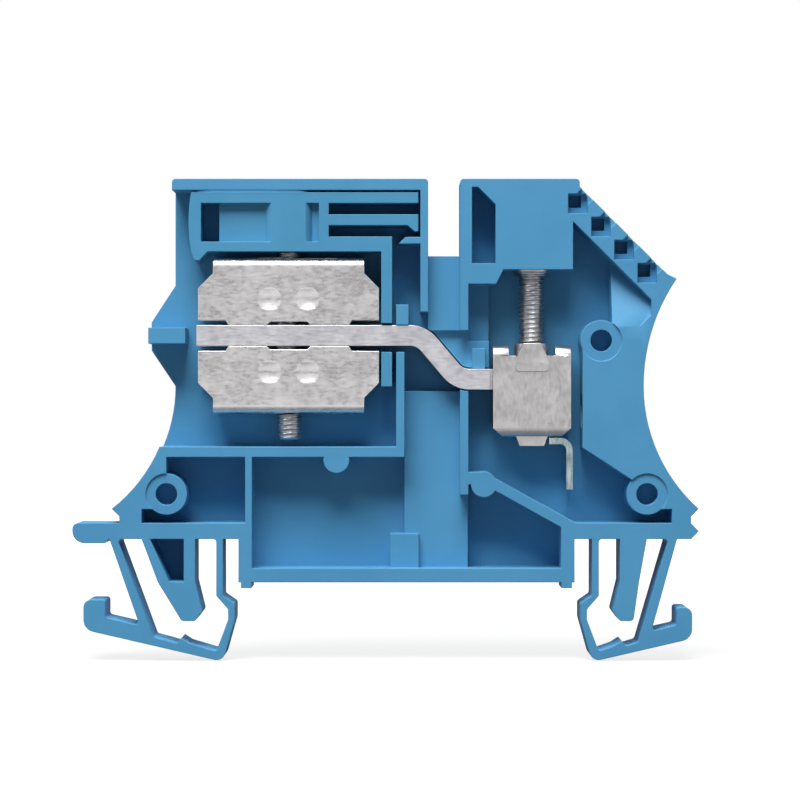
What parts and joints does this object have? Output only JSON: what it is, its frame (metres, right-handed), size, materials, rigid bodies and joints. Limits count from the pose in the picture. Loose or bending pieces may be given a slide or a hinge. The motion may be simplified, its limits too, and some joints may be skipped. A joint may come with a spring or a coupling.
{
  "type": "neutral terminal block",
  "caption": "Slim rail-mounted neutral terminal: open-sided housing on two spring feet, with a sliding busbar contact and a screw clamp for one wire.",
  "frame": {"origin": "middle of the 35 mm rail's width, on the plane where the housing sits on the rail, half way through the housing's thickness", "axes": "+X towards the wire entry, +Y towards the closed back wall, +Z away from the rail"},
  "size_m": [0.0607, 0.0062, 0.0467],
  "materials": {
    "blue_polyamide": "moulded, satin",
    "tinned_plate": "bright tin plate",
    "tinned_bar": "satin tin plate",
    "zinc_steel": "clear zinc plate"
  },
  "bodies": {
    "terminal_body": {"housing": "blue_polyamide", "current_bar": "tinned_bar"},
    "slide": {"disconnect_slide": "blue_polyamide", "upper_contact_plate": "tinned_plate"},
    "slide_screw": {"disconnect_screw": "zinc_steel"},
    "lower_plate": {"lower_contact_plate": "tinned_plate"},
    "yoke": {"clamping_yoke": "tinned_plate", "wire_guard_strip": "tinned_plate"},
    "clamp_screw": {"clamping_screw": "zinc_steel"}
  },
  "joints": [
    {"name": "slide_travel", "type": "slide", "parent": "terminal_body", "child": "slide", "axis": [-1, 0, 0], "range_m": [0, 0.0075]},
    {"name": "slide_screw_turn", "type": "hinge", "parent": "slide", "child": "slide_screw", "pos_m": [-0.01155, -0.0004, 0.03], "axis": [0, 0, 1], "range_deg": [0, 720]},
    {"name": "lower_plate_drop", "type": "slide", "parent": "slide", "child": "lower_plate", "axis": [0, 0, -1], "range_m": [0, 0.0009]},
    {"name": "clamp_screw_turn", "type": "hinge", "parent": "terminal_body", "child": "clamp_screw", "pos_m": [0.0121, -0.0004, 0.03], "axis": [0, 0, -1], "range_deg": [0, 2560]},
    {"name": "yoke_lift", "type": "slide", "parent": "terminal_body", "child": "yoke", "axis": [0, 0, 1], "range_m": [0, 0.0032]}
  ],
  "couplings": [
    {"joint": "slide_screw_turn", "follows": "lower_plate_drop", "rad_per_m": 13963},
    {"joint": "clamp_screw_turn", "follows": "yoke_lift", "rad_per_m": 13963}
  ]
}
